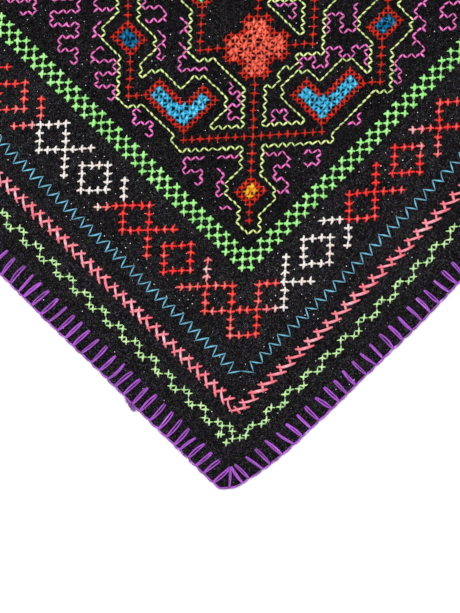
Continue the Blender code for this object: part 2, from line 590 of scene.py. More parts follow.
def make_mesh(name, points, quads, tris, uv, tints=None):
    mesh = bpy.data.meshes.new(name)
    mesh.vertices.add(len(points))
    mesh.vertices.foreach_set("co", points.astype(np.float32).ravel())
    corners = np.concatenate([quads.ravel(), tris.ravel()]).astype(np.int32)
    mesh.loops.add(len(corners))
    mesh.loops.foreach_set("vertex_index", corners)
    mesh.polygons.add(len(quads) + len(tris))
    starts = np.concatenate([np.arange(len(quads)) * 4, len(quads) * 4 + np.arange(len(tris)) * 3]).astype(np.int32)
    mesh.polygons.foreach_set("loop_start", starts)
    layer = mesh.uv_layers.new(name="UVMap")
    layer.data.foreach_set("uv", uv.astype(np.float32).ravel())
    if tints is not None:
        mesh.attributes.new("tint", "FLOAT", "POINT").data.foreach_set("value", tints.astype(np.float32))
    mesh.update(calc_edges=True)
    mesh.validate()
    mesh.shade_smooth()
    return mesh


# Where along a stitch its rings are, how thick it is there, how far it has come up out of its hole and how high it arches
COARSE = np.array([[0.0, 0.07, 0.35, 0.65, 0.93, 1.0], [0.36, 0.62, 1.0, 1.0, 0.62, 0.36],
                   [-0.00036, -0.0001, 0.0, 0.0, -0.0001, -0.00036], [0.0, 0.22, 1.0, 1.0, 0.22, 0.0]])
FINE = np.array([[0.0, 0.08, 0.29, 0.5, 0.71, 0.92, 1.0], [0.32, 0.56, 0.9, 1.18, 0.9, 0.56, 0.32],
                 [-0.00032, -0.00007, 0.0, 0.0, 0.0, -0.00007, -0.00032], [0.0, 0.24, 0.8, 1.0, 0.8, 0.24, 0.0]])
EVEN = np.array([FINE[0], [0.42, 0.72, 0.94, 1.12, 0.94, 0.72, 0.42], FINE[2], FINE[3]])
FULL = np.array([FINE[0], [0.46, 0.76, 1.0, 1.1, 1.0, 0.76, 0.46], FINE[2], FINE[3]])
PULL = rng.normal(0, 1, (2 * NX + 60, 2 * NY + 60, 2))      # which way the middle of each stitch is drawn
BEHIND = np.random.default_rng(7)                           # the underside draws its own numbers
LOW_SECTION = np.radians([150.0, 270.0, 390.0])


def pulled(x, y):
    return np.stack([x, y], 1) + HOLE_SHIFT[np.round(2 * x).astype(int), np.round(2 * y).astype(int)]


def reverse(pile, stitches, kind, wide, tint=None):
    """What a row of stitches leaves on the underside.

    "cross" leaves a short bar behind each cross, "line" a stitch behind each stitch, "pairs" one behind every two, and
    "links" a bar from each stitch to the next.
    """
    s = np.array(stitches, float)
    tint = BEHIND.random(len(s)) * 0.6 if tint is None else np.asarray(tint)
    if kind == "line":
        bars, keep = s[:, :4], np.arange(len(s))
    else:
        keep = np.arange(0, len(s) - 1, 1 if kind == "links" else 2)
        if kind == "pairs":
            bars = np.concatenate([s[keep, :2], s[keep + 1, 2:4]], 1)
        else:
            bars = np.concatenate([s[keep, 2:4], s[keep + 1, :2]], 1)
        span = np.hypot(bars[:, 2] - bars[:, 0], bars[:, 3] - bars[:, 1])
        whole = (span > 0.4) & (span < 3.3)
        bars, keep = bars[whole], keep[whole]
    n = len(bars)
    a, b = pulled(bars[:, 0], bars[:, 1]), pulled(bars[:, 2], bars[:, 3])
    at = np.array([0.0, 0.18, 0.82, 1.0])
    line = a[:, None, :] + (b - a)[:, None, :] * at[None, :, None]
    line = line + BEHIND.normal(0, 0.07, (n, 4, 2)) * np.sin(pi * at)[None, :, None]
    xy = lay(line[..., 0], line[..., 1])
    z = UNDERSIDE + swell(xy) + np.array([0.00014, -0.00003, -0.00003, 0.00014])
    size = (1 + BEHIND.normal(0, 0.12, n))[:, None].clip(0.7, 1.3) * np.array([0.5, 1.0, 1.0, 0.5])
    pile.add(np.concatenate([xy, z[..., None]], 2), wide * size, np.full((n, 4), 0.00018), np.repeat(tint[keep][:, None], 4, 1),
             section=LOW_SECTION, start=BEHIND.uniform(0, 40, n))


def straight(pile, stitches, wide, high, shape=FINE, rise=0.00034, bow=0.00006, uneven=0.08, tint=None, sag=0.0, pull=0.06, bends=None, glow=0.3,
             lean=0.0, ends=0.0, over=0.0):
    """Stitches that each join two holes. level 0 lies on the ground and level 1 passes over another strand.

    lean is how far the ends of a stitch stand off its line, over is how far they run on past its holes, and ends is how
    much painted shade a stitch gets where it goes down.
    """
    s = np.array(stitches, float)
    n = len(s)
    at, full, dive, arch = shape
    a, b = pulled(s[:, 0], s[:, 1]), pulled(s[:, 2], s[:, 3])
    flip = rng.random(n) < 0.12                          # now and then the other strand ends up on top
    level = np.where(flip & (s[:, 4] > 0), s[:, 4] * 0.35, s[:, 4])
    drawn = PULL[np.round(s[:, 0] + s[:, 2]).astype(int), np.round(s[:, 1] + s[:, 3]).astype(int)] * pull
    holes = a[:, None, :] + (b - a)[:, None, :] * at[None, :, None] + drawn[:, None, :] * np.sin(pi * at)[None, :, None]
    if bends is not None:
        most = np.array(bends, float)[:, 2:]
        shares = np.sin(pi / 2 * np.minimum(at / most, (1 - at) / (1 - most)))
        held = rng.normal(1.0, 0.3, (n // 2, 1)).repeat(2, 0).clip(0.1, 1.9)
        holes = holes + (np.array(bends, float)[:, :2] * held)[:, None, :] * shares[..., None]
    xy = lay(holes[..., 0], holes[..., 1])
    along = xy[:, -1] - xy[:, 0]
    along /= np.linalg.norm(along, axis=1, keepdims=True)
    across = np.stack([-along[:, 1], along[:, 0]], 1)
    belly = rng.normal(0, bow, n)[:, None] * np.sin(pi * at)[None, :]
    xy = xy + across[:, None, :] * belly[..., None]
    if over:
        xy = xy + along[:, None, :] * (over * rng.uniform(0.0, 1.6, (n, 1)) * (2 * at - 1)[None, :])[..., None]
    if lean:
        xy = xy + across[:, None, :] * (rng.normal(0.5, 1.0, n)[:, None] * lean * (1 - 2 * at)[None, :])[..., None]
    z = GROUND_TOP + swell(xy) + high * 0.55 + level[:, None] * rise * arch[None, :] + dive[None, :] - sag
    line = np.concatenate([xy, z[..., None]], axis=2)
    size = (1 + rng.normal(0, uneven, n))[:, None].clip(0.7, 1.35) * full[None, :]
    size = size * (1 + rng.normal(0, 0.05, size.shape))
    if tint is None:
        tint = rng.random(n) * 0.66
    # painted highlight: the middle of a strand is painted lighter, most where it passes over another; where glow is
    # below nothing the middle is painted darker instead
    middle_light = glow * rng.uniform(0.3, 1.3, n) * np.where(level > 0.5, 1.0, 0.45) * (1 - np.asarray(tint))
    shades = np.asarray(tint)[:, None] + middle_light[:, None] * np.clip(1 - np.abs(at - 0.5) / 0.26, 0, 1)[None, :]
    # painted shade: the ends of a strand, where it goes down into its hole, are painted darker
    if ends:
        painted_end_shade = np.clip((np.abs(at - 0.5) - 0.16) / 0.34, 0, 1)[None, :] * rng.uniform(0.6, 1.3, n)[:, None]
        shades = shades * (1 - painted_end_shade) - ends * painted_end_shade
    pile.add(line, wide * size, high * (0.7 + 0.3 * full)[None, :] * np.ones((n, 1)), shades)


# ---------------------------------------------------------------- ground cloth

def fine_outline(inset):
    """The outline again, closely spaced and drawn in by inset, and where its corners' middles are."""
    steps, spacing = 28, 0.0016
    ring, middles = [], []
    arcs = []
    for index in range(4):
        _, reach_x, reach_y = CORNERS[index]
        at_x = (0.0, SIDE_X, SIDE_X, 0.0)[index]
        at_y = (0.0, 0.0, SIDE_Y, SIDE_Y)[index]
        mid_x = at_x + (reach_x if at_x == 0.0 else -reach_x)
        mid_y = at_y + (reach_y if at_y == 0.0 else -reach_y)
        turns = pi + index * pi / 2 + np.arange(steps + 1) * pi / 2 / steps
        arcs.append(np.stack([mid_x + reach_x * np.cos(turns), mid_y + reach_y * np.sin(turns)], 1))
    for index, arc in enumerate(arcs):
        start, end = arc[-1], arcs[(index + 1) % 4][0]
        way = end - start
        length = np.hypot(*way)
        _, bow, ripple, wave, phase = SIDES[index]
        share = np.arange(1, int(length / spacing)) / int(length / spacing)
        fade = np.minimum(1.0, np.minimum(6.0 * share, 6.0 * (1.0 - share)))
        off = bow * np.sin(pi * share) + ripple * fade * np.sin(2 * pi * share * length / wave + phase)
        middles.append(len(ring) + steps // 2)
        ring += list(arc) + list(start + way * share[:, None] + np.array([way[1], -way[0]]) / length * off[:, None])
    ring = np.array(ring)
    tangent = np.roll(ring, -1, 0) - np.roll(ring, 1, 0)
    tangent /= np.linalg.norm(tangent, axis=1, keepdims=True)
    inward = np.stack([-tangent[:, 1], tangent[:, 0]], 1)
    # the near left corner stands out a little where the edge yarn turns
    stand = 0.0009 * np.exp(-((np.hypot(ring[:, 0] - 0.0062, ring[:, 1] - 0.0034) / 0.0042) ** 2))
    return ring + inward * (inset - stand[:, None]), middles, inward


def resampled(line, shares):
    gone = np.concatenate([[0], np.cumsum(np.linalg.norm(np.diff(line, axis=0), axis=1))])
    return np.stack([np.interp(shares * gone[-1], gone, line[:, k]) for k in (0, 1)], 1)


def ground_sheet():
    """The cloth itself: a closed sheet whose grid runs with the weave, thinner along its cut edge."""
    ring, m, _ = fine_outline(0.00062)
    near, right, far = ring[m[0]:m[1] + 1], ring[m[1]:m[2] + 1], ring[m[2]:m[3] + 1][::-1]
    left = np.concatenate([ring[m[3]:], ring[:m[0] + 1]])[::-1]

    def shares(count):
        return np.concatenate([[0, 0.0022], np.linspace(0.0065, 0.9935, count), [0.9978, 1]])

    s, t = shares(148), shares(158)
    B, T, L, R = resampled(near, s), resampled(far, s), resampled(left, t), resampled(right, t)
    S, Q = s[:, None, None], t[None, :, None]
    flat = ((1 - Q) * B[:, None] + Q * T[:, None] + (1 - S) * L[None] + S * R[None]
            - ((1 - S) * (1 - Q) * B[0] + S * (1 - Q) * B[-1] + (1 - S) * Q * T[0] + S * Q * T[-1]))
    xy = place(flat[..., 0], flat[..., 1])
    ns, nt = len(s), len(t)
    edge = np.minimum(np.minimum(np.arange(ns), np.arange(ns)[::-1])[:, None], np.minimum(np.arange(nt), np.arange(nt)[::-1])[None, :])
    thin = np.where(edge == 0, 0.00017, np.where(edge == 1, 0.00003, 0.0))
    lift = swell(xy)
    top = np.concatenate([xy, (GROUND_TOP - thin + lift)[..., None]], -1).reshape(-1, 3)
    low = np.concatenate([xy, (UNDERSIDE + thin + lift)[..., None]], -1).reshape(-1, 3)
    weave = np.stack([(flat[..., 0] - EDGE_YARN) / CELL_X - FIRST_HOLE, (flat[..., 1] - EDGE_YARN) / CELL_Y - FIRST_HOLE], -1).reshape(-1, 2)
    i, j = np.meshgrid(np.arange(ns - 1), np.arange(nt - 1), indexing="ij")
    a = (i * nt + j).ravel()
    up = np.stack([a, a + nt, a + nt + 1, a + 1], 1)
    down = up[:, ::-1] + ns * nt
    rim = np.concatenate([np.arange(ns) * nt, (ns - 1) * nt + np.arange(1, nt), np.arange(ns - 2, -1, -1) * nt + nt - 1, np.arange(nt - 2, 0, -1)])
    nxt = np.roll(rim, -1)
    wall = np.stack([rim + ns * nt, nxt + ns * nt, nxt, rim], 1)
    quads = np.concatenate([up, down, wall])
    both = np.concatenate([weave, weave])
    mesh = make_mesh("ground_cloth", np.concatenate([top, low]), quads, np.zeros((0, 3), int), both[quads.ravel()])
    obj = bpy.data.objects.new("ground_cloth", mesh)
    bpy.context.scene.collection.objects.link(obj)
    return obj


# ---------------------------------------------------------------- materials

def linear(r, g, b):
    return tuple((c / 255 / 12.92 if c / 255 <= 0.04045 else ((c / 255 + 0.055) / 1.055) ** 2.4) for c in (r, g, b)) + (1.0,)


class Tree:
    """Short calls for building one material's nodes."""

    def __init__(self, name):
        self.material = bpy.data.materials.new(name)
        self.material.use_nodes = True
        self.tree = self.material.node_tree
        self.shader = self.tree.nodes["Principled BSDF"]

    def link(self, value, socket):
        if isinstance(value, bpy.types.NodeSocket):
            self.tree.links.new(value, socket)
        else:
            socket.default_value = value

    def node(self, kind, inputs=(), output=0, **settings):
        node = self.tree.nodes.new(kind)
        for key, value in settings.items():
            setattr(node, key, value)
        for key, value in dict(inputs).items():
            self.link(value, node.inputs[key])
        return node.outputs[output]

    def math(self, what, a, b=None, c=None):
        inputs = {k: v for k, v in enumerate((a, b, c)) if v is not None}
        return self.node("ShaderNodeMath", inputs, operation=what)

    def ramp(self, value, stops, ease="LINEAR"):
        node = self.tree.nodes.new("ShaderNodeValToRGB")
        node.color_ramp.interpolation = ease
        points = node.color_ramp.elements
        while len(points) < len(stops):
            points.new(0.5)
        for point, (at, colour) in zip(points, stops):
            point.position, point.color = at, colour
        self.link(value, node.inputs[0])
        return node.outputs[0]

    def mix(self, factor, a, b, blend="MIX"):
        node = self.tree.nodes.new("ShaderNodeMix")
        node.data_type, node.blend_type = "RGBA", blend
        self.link(factor, node.inputs[0])
        self.link(a, node.inputs[6])
        self.link(b, node.inputs[7])
        return node.outputs[2]

    def scaled(self, value, low, high, to_low, to_high):
        return self.node("ShaderNodeMapRange", {0: value, 1: low, 2: high, 3: to_low, 4: to_high})


def thread(name, stops, pitch=1.5, rough=0.62, sheen=0.03, bump=0.6, side=0.7, pale=0.05, groove=0.5):
    """Two-ply cotton: plies that wind round each other, fine fibres along them, uneven dye. stops runs over the tint.
    Light and shade are painted in: groove sets the painted shade between the plies, side the painted shade on a
    strand's flanks and pale the painted highlight on its top.
    """
    t = Tree(name)
    sep = t.tree.nodes.new("ShaderNodeSeparateXYZ")
    t.link(t.node("ShaderNodeUVMap", uv_map="UVMap"), sep.inputs[0])
    along, round_ = sep.outputs[0], sep.outputs[1]
    tint = t.node("ShaderNodeAttribute", output=2, attribute_name="tint")
    solid = t.node("ShaderNodeTexCoord", output=3)
    turn = t.math("ADD", t.math("MULTIPLY", along, 1.0 / pitch), t.math("MULTIPLY", round_, 2.0))
    ply = t.math("POWER", t.math("ABSOLUTE", t.math("SINE", t.math("MULTIPLY", turn, pi))), 0.6)
    fibre_at = t.node("ShaderNodeCombineXYZ", {0: t.math("MULTIPLY", along, 0.9), 1: t.math("MULTIPLY", turn, 9.0), 2: t.math("MULTIPLY", tint, 7.0)})
    fibre = t.node("ShaderNodeTexNoise", {"Vector": fibre_at, "Scale": 1.0, "Detail": 3.0, "Roughness": 0.6})
    lint = t.node("ShaderNodeTexNoise", {"Vector": solid, "Scale": 2200.0, "Detail": 2.0, "Roughness": 0.6})
    dye = t.node("ShaderNodeTexNoise", {"Vector": solid, "Scale": 90.0, "Detail": 2.0, "Roughness": 0.5})
    colour = t.ramp(t.math("ADD", tint, t.scaled(dye, 0.3, 0.7, -0.14, 0.14)), stops)
    relief = t.math("ADD", t.math("MULTIPLY", ply, 0.6), t.math("MULTIPLY", fibre, 0.4))
    # painted shade: the grooves between the plies are painted darker, down to groove
    groove_shade = t.ramp(relief, ((0.12, (groove, groove, groove, 1)), (0.5, (0.9, 0.9, 0.9, 1)), (0.82, (1.0, 1.0, 1.0, 1))))
    worn = t.ramp(lint, ((0.32, (0.74, 0.74, 0.74, 1)), (0.6, (1, 1, 1, 1))))
    # painted highlight and painted shade: the turn of a strand that faces up is painted paler, and its flanks are
    # painted darker and deeper in colour
    crown = t.scaled(t.math("ABSOLUTE", t.math("SUBTRACT", round_, 0.4)), 0.02, 0.3, 1.0, 0.0)
    flank_shade = t.ramp(crown, ((0.0, (side, side, side, 1)), (0.55, (0.95, 0.95, 0.95, 1)), (1.0, (1, 1, 1, 1))), "EASE")
    deep = t.mix(1.0, colour, colour, "MULTIPLY")
    colour = t.mix(t.ramp(crown, ((0.0, (0.3, 0.3, 0.3, 1)), (0.85, (1, 1, 1, 1))), "EASE"), deep, colour)
    colour = t.mix(t.math("MULTIPLY", crown, pale), colour, linear(255, 252, 246))
    colour = t.mix(1.0, t.mix(1.0, t.mix(1.0, colour, flank_shade, "MULTIPLY"), groove_shade, "MULTIPLY"), worn, "MULTIPLY")
    # a tint below nothing is painted shade: where a strand goes down into the cloth it is painted towards black
    t.link(t.mix(t.scaled(tint, -1.0, 0.0, 0.85, 0.0), colour, linear(8, 8, 9)), t.shader.inputs["Base Color"])
    t.link(t.scaled(fibre, 0.2, 0.8, rough - 0.1, rough + 0.12), t.shader.inputs["Roughness"])
    t.link(t.node("ShaderNodeBump", {"Height": relief, "Strength": bump, "Distance": 0.00022}), t.shader.inputs["Normal"])
    t.shader.inputs["Specular IOR Level"].default_value = 0.1
    t.shader.inputs["Sheen Weight"].default_value = sheen
    t.shader.inputs["Sheen Roughness"].default_value = 0.45
    return t.material


def flosses():
    def near(r, g, b, spread=0.13, light=0.32):
        low = tuple(c * (1 - spread) for c in (r, g, b))
        high = tuple(min(255, c * (1 + spread * 0.6) + 3) for c in (r, g, b))
        pale = tuple(c + (255 - c) * light for c in high)
        return ((0.03, linear(*low)), (0.36, linear(r, g, b)), (0.66, linear(*high)), (1.0, linear(*pale)))

    return {
        "purple": thread("purple_yarn", near(172, 78, 206, 0.2, light=0.38), pitch=1.25, side=0.45, pale=0.04, groove=0.3),
        "pale_green": thread("pale_green_floss", (
            (0.0, linear(168, 214, 148)), (0.34, linear(200, 246, 172)), (0.66, linear(218, 254, 184)), (1.0, linear(240, 255, 212))), pale=0.05),
        "pink": thread("pink_floss", (
            (0.0, linear(244, 84, 102)), (0.3, linear(255, 132, 150)), (0.62, linear(255, 170, 186)), (1.0, linear(255, 216, 226))), pale=0.06),
        "blue": thread("blue_floss", near(94, 184, 214), pale=0.1),
        "chain": thread("space_dyed_floss", (
            (0.0, linear(248, 14, 10)), (0.12, linear(252, 32, 26)), (0.25, linear(255, 92, 82)), (0.42, linear(250, 112, 124)),
            (0.6, linear(250, 166, 170)), (0.8, linear(250, 228, 220)), (1.0, linear(252, 246, 240))), pale=0.04),
        "bright_green": thread("bright_green_floss", near(164, 252, 140, light=0.5), pale=0.05),
        "red_orange": thread("red_orange_floss", near(206, 32, 2, light=0.2), pale=0.012),
        "yellow_green": thread("yellow_green_floss", near(230, 255, 158, light=0.4), side=0.85, pale=0.06, groove=0.7),
        "magenta": thread("magenta_floss", near(254, 112, 204, light=0.4), pale=0.07),
        "sky": thread("sky_floss", near(34, 187, 234, light=0.5), sheen=0.0, side=0.5, pale=0.05),
        "deep": thread("deep_blue_floss", near(0, 112, 158), sheen=0.0, side=0.55, pale=0.0),
        "sun": thread("orange_floss", near(255, 170, 0), sheen=0.0, side=0.7, pale=0.02),
        "coral": thread("coral_floss", near(255, 88, 58), pale=0.05, side=0.6),
        "leaf": thread("leaf_green_floss", near(90, 222, 140)),
    }


def black_cotton():
    """Counted cotton: four threads to a cell, over and under, small holes at the corners of the cells, lint and fade."""
    t = Tree("black_cotton_weave")
    uv = t.node("ShaderNodeUVMap", uv_map="UVMap")
    solid = t.node("ShaderNodeTexCoord", output=3)
    wander = t.node("ShaderNodeTexNoise", {"Vector": uv, "Scale": 1.7, "Detail": 2.0}, output=1)
    moved = t.node("ShaderNodeVectorMath", {0: wander, 1: (0.5, 0.5, 0.5)}, operation="SUBTRACT")
    moved = t.node("ShaderNodeVectorMath", {0: moved, 3: 0.3}, operation="SCALE")
    shaken = t.tree.nodes.new("ShaderNodeSeparateXYZ")
    t.link(t.node("ShaderNodeVectorMath", {0: uv, 1: moved}, operation="ADD"), shaken.inputs[0])
    a, b = t.math("MULTIPLY", shaken.outputs[0], 4.0), t.math("MULTIPLY", shaken.outputs[1], 4.0)
    ia, ib = t.math("FLOOR", a), t.math("FLOOR", b)
    over = t.math("PINGPONG", t.math("ADD", ia, ib), 1.0)
    wa = t.math("SINE", t.math("MULTIPLY", t.math("FRACT", a), pi))
    wb = t.math("SINE", t.math("MULTIPLY", t.math("FRACT", b), pi))
    warp = t.math("MULTIPLY", t.math("POWER", wa, 0.6), t.math("ADD", 0.3, t.math("MULTIPLY", t.math("MULTIPLY", wb, over), 0.7)))
    weft = t.math("MULTIPLY", t.math("POWER", wb, 0.6), t.math("ADD", 0.3, t.math("MULTIPLY", t.math("MULTIPLY", wa, t.math("SUBTRACT", 1.0, over)), 0.7)))
    cloth = t.math("MAXIMUM", warp, weft)
    plain = t.tree.nodes.new("ShaderNodeSeparateXYZ")
    t.link(uv, plain.inputs[0])
    from_side = t.math("MINIMUM", t.math("PINGPONG", plain.outputs[0], NX / 2), t.math("PINGPONG", plain.outputs[1], NY / 2))
    # each float of thread has its own tone, and the ground of the field is painted darker than the borders, painted
    # shade among its close stitches
    own = t.node("ShaderNodeTexWhiteNoise", {"Vector": t.node("ShaderNodeCombineXYZ", {0: ia, 1: ib, 2: 1.0})}, noise_dimensions="3D")
    lint = t.node("ShaderNodeTexNoise", {"Vector": solid, "Scale": 3300.0, "Detail": 1.0, "Roughness": 0.7})
    fade = t.node("ShaderNodeTexNoise", {"Vector": solid, "Scale": 42.0, "Detail": 3.0, "Roughness": 0.6})
    shade = t.math("ADD", t.math("MULTIPLY", cloth, 0.3), t.math("MULTIPLY", own, 0.3))
    shade = t.math("ADD", shade, t.scaled(lint, 0.3, 0.7, -0.11, 0.43))
    shade = t.math("ADD", shade, t.scaled(fade, 0.35, 0.65, -0.03, 0.03))
    # painted shade: the ground inside the field is painted darker
    shade = t.math("ADD", shade, t.scaled(from_side, 26.0, 32.0, 0.0, -0.06))
    base = t.ramp(shade, ((0.27, linear(2, 2, 3)), (0.43, linear(15, 14, 16)), (0.55, linear(28, 27, 29)), (0.66, linear(39, 37, 40)), (0.78, linear(58, 57, 60)), (0.88, linear(94, 92, 97))))
    # the holes between the cells, painted near black as painted shade, and a few of them pulled open and painted with a
    # pale spot, painted light from the table showing through
    hx, hy = t.math("PINGPONG", plain.outputs[0], 0.5), t.math("PINGPONG", plain.outputs[1], 0.5)
    far = t.math("SQRT", t.math("ADD", t.math("MULTIPLY", hx, hx), t.math("MULTIPLY", hy, hy)))
    cell = t.node("ShaderNodeCombineXYZ", {0: t.math("ROUND", plain.outputs[0]), 1: t.math("ROUND", plain.outputs[1]), 2: 3.0})
    chance = t.node("ShaderNodeTexWhiteNoise", {"Vector": cell}, noise_dimensions="3D")
    second = t.node("ShaderNodeVectorMath", {0: cell, 1: (7.3, 2.1, 9.4)}, operation="ADD")
    chance2 = t.node("ShaderNodeTexWhiteNoise", {"Vector": second}, noise_dimensions="3D")
    patch = t.node("ShaderNodeTexNoise", {"Vector": uv, "Scale": 0.075, "Detail": 2.0, "Roughness": 0.65})
    worked = t.scaled(from_side, 9.0, 18.0, 0.3, 1.0)        # the needle opens more holes inside the borders
    opened = t.math("LESS_THAN", chance, t.math("MULTIPLY", t.scaled(patch, 0.38, 0.68, 0.08, 0.62), worked))
    radius = t.scaled(t.math("POWER", chance2, 3.0), 0.0, 1.0, 0.024, 0.085)
    table_light_spot = t.math("MULTIPLY", opened, t.math("LESS_THAN", far, radius))
    # painted shade: each hole between the cells is painted near black
    hole_shade_mask = t.scaled(far, 0.05, 0.15, 0.0, 1.0)
    base = t.mix(hole_shade_mask, linear(5, 5, 6), base)
    # coloured lint from the flosses, too fine to see as such
    strewn = t.node("ShaderNodeTexNoise", {"Vector": solid, "Scale": 950.0, "Detail": 2.0, "Roughness": 0.6}, output=1)
    hue = t.node("ShaderNodeVectorMath", {0: strewn, 1: (1.7, 1.7, 1.7), 2: (0.15, 0.15, 0.15)}, operation="MULTIPLY_ADD")
    base = t.mix(1.0, base, hue, "MULTIPLY")
    # painted light: the opened holes are painted with the pale table colour
    t.link(t.mix(table_light_spot, base, linear(238, 238, 240)), t.shader.inputs["Base Color"])
    t.link(t.scaled(lint, 0.3, 0.7, 0.86, 0.98), t.shader.inputs["Roughness"])
    height = t.math("MULTIPLY", t.math("ADD", cloth, t.math("MULTIPLY", lint, 0.35)), hole_shade_mask)
    t.link(t.node("ShaderNodeBump", {"Height": height, "Strength": 0.8, "Distance": 0.00025}), t.shader.inputs["Normal"])
    t.shader.inputs["Specular IOR Level"].default_value = 0.03
    t.shader.inputs["Sheen Weight"].default_value = 0.01
    t.shader.inputs["Sheen Roughness"].default_value = 0.6
    return t.material


# ---------------------------------------------------------------- the edge

def edge_stitches():
    """Feet on the edge and tips in the cloth of the blanket stitch, in cells from the cut edges, corner by corner."""
    legs = []
    near = [4.6, 6.6, 8.5, 10.6, 12.65] + [2 * k + 0.7 for k in range(7, 75)]
    deep = {4.6: 4.6, 6.6: 4.4, 8.5: 4.1, 10.6: 3.9}
    for u in near:
        legs.append(((u, 0.0), (u, deep.get(u, 3.55))))
    for v in [6.63, 8.63, 10.66, 12.32] + [2 * k + 0.4 for k in range(7, 85)]:
        lean = 0.12 if v < 13 else 0.0
        legs.append(((0.0, v + lean), (min(3.3 + v * 0.02, 3.75), v)))
    legs += [((0.6, 4.9), (3.67, 4.7)), ((1.75, 2.66), (3.67, 4.7)), ((2.9, 2.1), (3.67, 4.7))]
    wide, tall = NX - 0.16, NY - 0.16
    legs += [((wide - a, tall - b), (wide - c, tall - d)) for (a, b), (c, d) in legs]
    for far_x in (True, False):                          # the fans of the two corners between
        for foot in ((3.0, 0.7), (1.0, 1.0), (0.6, 3.4)):
            tip = (3.7, 4.2)
            if far_x:
                legs.append(((wide - foot[0], foot[1]), (wide - tip[0], tip[1])))
            else:
                legs.append(((foot[0], tall - foot[1]), (tip[0], tall - tip[1])))
    return legs


def fibres(pile, start, way, length, thick, low=0.0002, high=0.0007):
    """Loose fibres, each a thin closed strand that curls as it goes: start (n, 2) and way (n, 2) in the frame."""
    n = len(start)
    step = np.linspace(0, 1, 5)
    heading = np.arctan2(way[:, 1], way[:, 0])[:, None] + rng.normal(0, 0.9, n)[:, None] * step
    each = (np.asarray(length) / 5)[:, None]
    flat = start[:, None, :] + np.cumsum(np.stack([np.cos(heading), np.sin(heading)], 2) * each[..., None], 1)
    z = rng.uniform(low, high, n)[:, None] + 0.0002 * np.sin(pi * step)
    size = np.asarray(thick)[:, None] * np.array([0.8, 1.0, 1.0, 0.9, 0.7])
    pile.add(np.concatenate([flat, z[..., None]], 2), size, size, np.repeat(rng.uniform(0.2, 1.0, n)[:, None], 5, 1), section=np.radians([-30.0, 90.0, 210.0]))


def edge_fuzz(pile):
    """The fibres that stand off the edge yarn all round, and the frayed end near the corner."""
    ring, _, inward = fine_outline(0.00050)
    total = len(ring)
    k = rng.integers(0, total, 3300)
    away = -inward[k] + np.stack([-inward[k][:, 1], inward[k][:, 0]], 1) * rng.normal(0, 0.9, (len(k), 1))
    at = ring[k] - inward[k] * rng.uniform(-0.0002, 0.0004, (len(k), 1)) + np.roll(inward[k], 1, 1) * rng.uniform(-0.0008, 0.0008, (len(k), 1))
    start = place(at[:, 0], at[:, 1])
    fibres(pile, start, place(at[:, 0] + away[:, 0], at[:, 1] + away[:, 1]) - start, rng.gamma(3.0, 0.00022, len(k)).clip(0.0002, 0.0022), rng.uniform(0.00002, 0.00004, len(k)))
    # the end of a yarn, frayed, that lies along the edge
    path = np.array([(0.00055, 0.0616), (0.0001, 0.0600), (-0.00025, 0.0585), (-0.0008, 0.0567), (-0.0013, 0.0544)])
    share = rng.uniform(0.0, 0.85, 170)
    at = np.stack([np.interp(share * 4, np.arange(5), path[:, i]) for i in (0, 1)], 1) + rng.normal(0, 0.00030, (170, 2)) * (1 - 0.6 * share)[:, None]
    away = np.array([-0.0026, -0.0068]) + rng.normal(0, 0.0018, (170, 2))
    start = place(at[:, 0], at[:, 1])
    fibres(pile, start, place(at[:, 0] + away[:, 0], at[:, 1] + away[:, 1]) - start, rng.uniform(0.0008, 0.0022, 170), rng.uniform(0.00005, 0.00012, 170))


